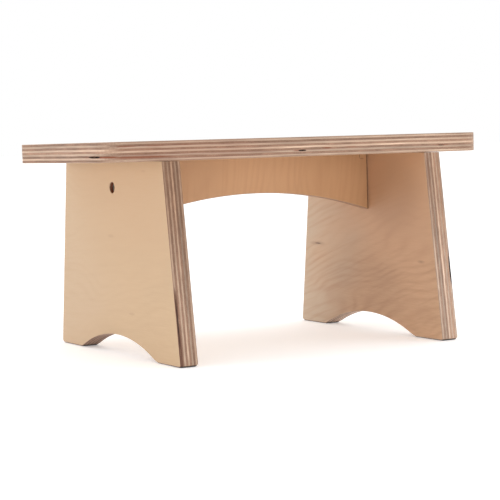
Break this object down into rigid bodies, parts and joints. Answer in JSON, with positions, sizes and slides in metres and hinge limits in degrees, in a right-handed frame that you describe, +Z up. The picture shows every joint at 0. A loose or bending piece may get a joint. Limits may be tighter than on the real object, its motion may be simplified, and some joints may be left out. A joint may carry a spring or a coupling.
{
  "type": "floor balance bench",
  "caption": "Low plywood balance bench: a board with rounded corners on panel legs with arched feet, joined by an arched stretcher held with recessed screws.",
  "frame": {"origin": "on the floor, under the middle of the bench", "axes": "+X along the bench, +Y across it, +Z up"},
  "size_m": [0.41, 0.2552, 0.2],
  "materials": {
    "top_panel": "clear satin lacquer on birch plywood, ply lines on the edges",
    "leg_panel": "clear satin lacquer on birch plywood, ply lines on the edges",
    "stretcher_panel": "clear satin lacquer on birch plywood",
    "dowel_wood": "raw turned beech",
    "screw_steel": "plain zinc-plated steel"
  },
  "bodies": {
    "root": {"top_board": "top_panel", "left_leg": "leg_panel", "left_screw": "screw_steel", "left_top_dowel_1": "dowel_wood", "left_top_dowel_2": "dowel_wood", "left_top_dowel_3": "dowel_wood", "left_top_dowel_4": "dowel_wood", "left_end_dowel_1": "dowel_wood", "left_end_dowel_2": "dowel_wood", "right_leg": "leg_panel", "right_screw": "screw_steel", "right_top_dowel_1": "dowel_wood", "right_top_dowel_2": "dowel_wood", "right_top_dowel_3": "dowel_wood", "right_top_dowel_4": "dowel_wood", "right_end_dowel_1": "dowel_wood", "right_end_dowel_2": "dowel_wood", "stretcher": "stretcher_panel", "stretcher_top_dowel_1": "dowel_wood", "stretcher_top_dowel_2": "dowel_wood"}
  },
  "joints": []
}
